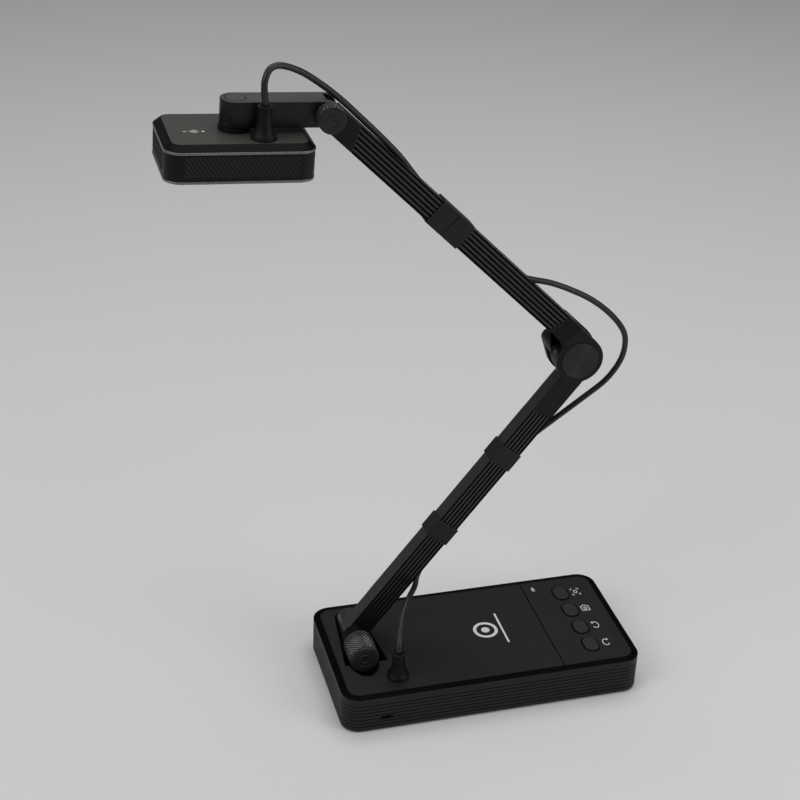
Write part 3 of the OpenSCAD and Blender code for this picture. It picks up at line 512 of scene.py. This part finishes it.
def knurled(name, body, matrix, radius, front, back, count):
    """Diamond knurl between two plain rims; Z runs towards the front. The CAD knob has its body's
    name. count is the number of diamonds round the knob."""
    rim, depth, rows, steepness = 0.8, 0.55, 8, 1.35
    length = front - back - 2 * rim
    pitch = 2 * math.pi * radius / count
    steps = round(length / pitch * rows)
    heights = [back + rim + length * i / steps for i in range(steps + 1)]
    inner = radius - rim
    profile = [(0, back), (inner - 0.4, back), (inner, back + 0.3), (inner, back + rim - 0.1)]
    first = len(profile)
    profile += [(radius, z) for z in heights]
    last = len(profile)
    profile += [(inner, front - rim + 0.1), (inner, front), (0, front)]

    def wobble(a, z, k):
        if not first <= k < last:
            return 0
        s, t = a * count / (2 * math.pi), (z - back) / pitch
        cut = [abs(((s + sign * t) % 1) - 0.5) * 2 for sign in (1, -1)]
        return -depth * (1 - min(1, steepness * min(cut)))

    bm = lathe(profile, segments=count * rows, wobble=wobble)
    # faces deep in the knurl's valleys take the second material, painted shade
    for face in bm.faces:
        place = face.calc_center_median() / MM
        cut = radius - math.hypot(place.x, place.y)
        if 0.42 * depth < cut < rim - 0.01 and back + rim < place.z < front - rim:
            face.material_index = 1
    piece(name, bm, body, ["knob", "knurl_painted_shade"], matrix, replaces=[body], smooth=24)


hinge_front = Matrix.Translation(HINGE) @ to_front
wrist_front = on_head @ to_front
knurled("hinge_knurl", "hinge_knob", hinge_front, radius=11.7, front=37.2, back=16.3, count=27)
knurled("wrist_knurl", "wrist_knob", wrist_front, radius=9.6, front=20.1, back=10.3, count=22)


def knob_disc(name, body, matrix, radius, face, thick, mat):
    """Cap on the end of a knob: rounded rim, ring groove and a dimple in the middle."""
    profile = [(0, face - thick), (radius, face - thick), (radius, face), (radius * 0.51, face),
               (radius * 0.49, face - 0.4), (radius * 0.44, face - 0.4), (radius * 0.42, face),
               (radius * 0.24, face), (radius * 0.18, face - 0.7), (0, face - 0.8)]
    piece(name, lathe(softened(profile, 0.35)), body, [mat], matrix, replaces=[body + "_cap"])


# the hinge knob's cap takes a lighter copy of the cap colour: painted light for a cap in shade
knob_disc("hinge_disc", "hinge_knob", hinge_front, radius=11.4, face=38.7, thick=1.5, mat="cap_painted_light")
knob_disc("wrist_disc", "wrist_knob", wrist_front, radius=9.3, face=21.3, thick=1.2, mat="cap")

# ---- Elbow caps: turned discs with faint rings ----

CAP_BACK, CAP_FACE, CAP_R, CAP_CUT = 11.1, 13.3, 14.4, 0.3
cap_profile = [(0, CAP_BACK), (CAP_R, CAP_BACK), (CAP_R, CAP_FACE)]
for ring in range(13, 1, -2):
    cap_profile += [(ring + CAP_CUT, CAP_FACE), (ring, CAP_FACE - CAP_CUT), (ring - CAP_CUT, CAP_FACE)]
cap_profile += [(0, CAP_FACE)]
caps = lathe(softened(cap_profile, 0.4))
far_cap = bmesh.ops.duplicate(caps, geom=[*caps.verts, *caps.edges, *caps.faces])["geom"]
bmesh.ops.rotate(caps, verts=[v for v in far_cap if isinstance(v, bmesh.types.BMVert)],
                 cent=(0, 0, 0), matrix=Matrix.Rotation(math.pi, 3, "X"))
piece("elbow_discs", caps, "upper_arm", ["cap"], Matrix.Translation(ELBOW) @ to_front,
      replaces=["elbow_caps"])

# ---- Boots ----

BOOT = [(0, 0), (8.6, 0), (8.6, 1.3), (8.2, 1.7), (8.5, 2.3), (7.6, 3.3), (6.7, 5.0), (5.95, 7.3),
        (5.3, 9.8), (4.85, 12.2), (4.8, 18.0), (4.4, 18.2), (4.4, 18.5), (4.9, 18.7), (4.9, 20.2),
        (4.5, 20.4), (4.5, 20.8), (5.3, 21.0), (5.3, 22.0), (2.7, 22.0), (2.5, 21.4), (0, 21.4)]
for name, body, matrix in (
        ("base_boot", "base", Matrix.Translation(at(BOOT_X, BOOT_Y, BASE_TOP))),
        ("head_boot", "head", at_swivel @ Matrix.Translation(at(16, -18.7, HEAD_TOP)))):
    bm = lathe(softened(BOOT, 0.3))
    piece(name + "_moulded", bm, body, ["rubber"], matrix, replaces=[name])

# ---- Diagonal ribs round the head's band ----

RIB_TOP, RIB_LOW, RIB_PITCH, RIB_LEAN = -18.9, -32.4, 2.9, 9.5
RIB_FOOT, RIB_CREST, RIB_RISE = 0.8, 0.3, 0.3
ribs = bmesh.new()
for normal, depth, width in ((Vector((0, -1, 0)), HEAD_W, HEAD_L), (Vector((0, 1, 0)), HEAD_W, HEAD_L),
                             (Vector((-1, 0, 0)), HEAD_L, HEAD_W), (Vector((1, 0, 0)), HEAD_L, HEAD_W)):
    along = Vector((-normal.y, normal.x, 0))
    distance, half = depth / 2, width / 2 - HEAD_R - 1
    for k in range(int((2 * half + RIB_LEAN) / RIB_PITCH)):
        start = -half - RIB_LEAN + (k + 0.5) * RIB_PITCH
        ends = []
        for share in (max(0, -(half + start) / RIB_LEAN), min(1, (half - start) / RIB_LEAN)):
            place = along * (start + RIB_LEAN * share) + normal * distance
            place.z = RIB_TOP + (RIB_LOW - RIB_TOP) * share
            ends.append([ribs.verts.new((place + along * e + normal * h) * MM)
                         for e, h in ((-RIB_FOOT, 0), (-RIB_CREST, RIB_RISE), (RIB_CREST, RIB_RISE),
                                      (RIB_FOOT, 0))])
        upper, lower = ends
        for a, b in ((0, 1), (1, 2), (2, 3), (3, 0)):
            ribs.faces.new((upper[a], lower[a], lower[b], upper[b]))
        ribs.faces.new(upper)
        ribs.faces.new(lower[::-1])
bmesh.ops.recalc_face_normals(ribs, faces=ribs.faces)
piece("head_ribs", ribs, "head", ["hatch"], at_swivel, smooth=20)

# ---- Printed symbols ----

INK = 0.05
UP = Vector((0, 0, INK))
LEAST_COSINE = 0.4  # keeps the mitre of a sharp corner short


def stroke(bm, points, width=0.6, closed=False):
    """Raised line of even width through flat points, in millimetres, with mitred corners."""
    pts = [Vector((*p, 0)) for p in points]
    rows = []
    for i, p in enumerate(pts):
        into = (p - pts[i - 1]).normalized() if closed or i else (pts[1] - p).normalized()
        out = (pts[(i + 1) % len(pts)] - p).normalized() if closed or i < len(pts) - 1 else into
        along = (into + out).normalized()
        side = Vector((along.y, -along.x, 0)) * width / 2 / max(LEAST_COSINE, along.dot(into))
        rows.append([bm.verts.new(c * MM) for c in (p - side, p - side + UP, p + side + UP, p + side)])
    faces = [] if closed else [bm.faces.new(rows[0]), bm.faces.new(rows[-1])]
    for a, b in zip(rows, rows[1:] + (rows[:1] if closed else [])):
        for k in range(4):
            faces.append(bm.faces.new((a[k], b[k], b[k - 3], a[k - 3])))
    bmesh.ops.recalc_face_normals(bm, faces=faces)


def patch(bm, points):
    """Raised flat shape with the given outline."""
    low = [bm.verts.new(at(*p, 0)) for p in points]
    high = [bm.verts.new(at(*p, INK)) for p in points]
    faces = [bm.faces.new(low), bm.faces.new(high)]
    for i in range(len(points)):
        faces.append(bm.faces.new((low[i - 1], low[i], high[i], high[i - 1])))
    bmesh.ops.recalc_face_normals(bm, faces=faces)


def arc(x, y, r, start, end, steps=20):
    return [(x + r * math.cos(math.radians(start + (end - start) * k / steps)),
             y + r * math.sin(math.radians(start + (end - start) * k / steps))) for k in range(steps + 1)]


def circle(x, y, r, steps=24):
    return arc(x, y, r, 0, 360, steps)[:-1]


WIDE, TALL = 0.9, 1.3


def placed(x, y, points):
    """Points of a symbol, stretched to its printed size, round its place."""
    return [(x + WIDE * px, y + TALL * py) for px, py in points]


def focus_symbol(bm, x, y):
    for sx in (-1, 1):
        for sy in (-1, 1):
            stroke(bm, placed(x, y, [(sx * 2, sy * 3.2), (sx * 3.5, sy * 3.2), (sx * 3.5, sy * 1.7)]))
    stroke(bm, placed(x, y, circle(0, 0, 1.4)), closed=True)


def camera_symbol(bm, x, y):
    stroke(bm, placed(x, y, [(-3.6, -2.4), (3.6, -2.4), (3.6, 2), (1.8, 2), (1, 3.1), (-1, 3.1),
                             (-1.8, 2), (-3.6, 2)]), closed=True)
    stroke(bm, placed(x, y, circle(0, -0.3, 1.3)), width=0.7, closed=True)


def turn_symbol(bm, x, y, side):
    sweep = [(side * px, py) for px, py in arc(0, 0, 2.8, 120, -150)]
    stroke(bm, placed(x, y, sweep), width=0.7)
    head = [(-1.4, 1.3), (-1.4, 3.7), (-3.4, 2.5)]
    patch(bm, placed(x, y, [(side * px, py) for px, py in head]))


def microphone_symbol(bm, x, y):
    patch(bm, arc(x, y + 1.6, 0.8, 0, 180, 8) + arc(x, y - 0.2, 0.8, 180, 360, 8))
    stroke(bm, arc(x, y, 1.7, 180, 360, 10), width=0.4)
    stroke(bm, [(x, y - 1.9), (x, y - 2.6)], width=0.4)
    stroke(bm, [(x - 1.2, y - 2.8), (x + 1.2, y - 2.8)], width=0.4)


print_base = bmesh.new()
SYMBOL_X, FIRST_Y = 98.7, 35
focus_symbol(print_base, SYMBOL_X, FIRST_Y)
camera_symbol(print_base, SYMBOL_X, FIRST_Y - BUTTON_PITCH)
turn_symbol(print_base, SYMBOL_X, FIRST_Y - 2 * BUTTON_PITCH, 1)
turn_symbol(print_base, SYMBOL_X, FIRST_Y - 3 * BUTTON_PITCH, -1)
microphone_symbol(print_base, 65.1, 45.6)
# a plain ring with a dot, and a bar beside it
RING = (10, 2)
stroke(print_base, circle(*RING, 8.6, 48), width=2.6, closed=True)
patch(print_base, circle(*RING, 3.4))
stroke(print_base, [(23.5, -17), (23.5, 21)], width=1.6)
piece("base_symbols", print_base, "base", ["print"], Matrix.Translation(at(0, 0, BASE_TOP)))

print_head = bmesh.new()
LAMP_X, LAMP_Y = -27, -4.4
stroke(print_head, circle(LAMP_X, LAMP_Y, 1.3), width=0.6, closed=True)
for k in range(8):
    dx, dy = math.cos(k * math.pi / 4), math.sin(k * math.pi / 4)
    stroke(print_head, [(LAMP_X + 2.2 * dx, LAMP_Y + 2.2 * dy), (LAMP_X + 3.2 * dx, LAMP_Y + 3.2 * dy)],
           width=0.5)
stroke(print_head, [(LAMP_X - 7.2, LAMP_Y), (LAMP_X - 4.8, LAMP_Y)], width=0.7)
plus = [(1.2, 0.35), (0.35, 0.35), (0.35, 1.2)]
for _ in range(3):
    plus += [(-py, px) for px, py in plus[-3:]]
patch(print_head, [(LAMP_X + 6 + px, LAMP_Y + py) for px, py in plus])
piece("head_symbols", print_head, "head", ["print"], at_swivel @ Matrix.Translation(at(0, 0, HEAD_TOP)))

# ---- Floor and light ----

bpy.ops.mesh.primitive_plane_add(size=8, location=(0, 0, 0))
floor = bpy.context.object
floor.name = "floor"
material("floor", (0.74, 0.74, 0.73), 0.7, specular=0.2, vary=0.015, grain=300, bump=0.02, patch=2.0)
floor.data.materials.append(MATERIALS["floor"])


def softbox(name, place, aim, size, power):
    data = bpy.data.lights.new(name, "AREA")
    data.shape = "RECTANGLE"
    data.size, data.size_y = size
    data.energy = power
    lamp = bpy.data.objects.new(name, data)
    lamp.location = place
    lamp.rotation_euler = (Vector(aim) - Vector(place)).to_track_quat("-Z", "Y").to_euler()
    bpy.context.scene.collection.objects.link(lamp)


softbox("key", (-1.5, -0.5, 1.5), aim=(-0.05, 0, 0.2), size=(1.2, 1.2), power=11)
softbox("fill", (1.4, -1.2, 1.0), aim=(0, 0, 0.2), size=(1.0, 1.0), power=10)
softbox("top", (0.1, 0.3, 2.2), aim=(0, 0, 0), size=(2.0, 2.0), power=25)
world = bpy.data.worlds.new("studio")
world.use_nodes = True
world.node_tree.nodes["Background"].inputs["Color"].default_value = (1, 1, 1, 1)
world.node_tree.nodes["Background"].inputs["Strength"].default_value = 0.16
bpy.context.scene.world = world
bpy.context.scene.view_settings.view_transform = "Standard"
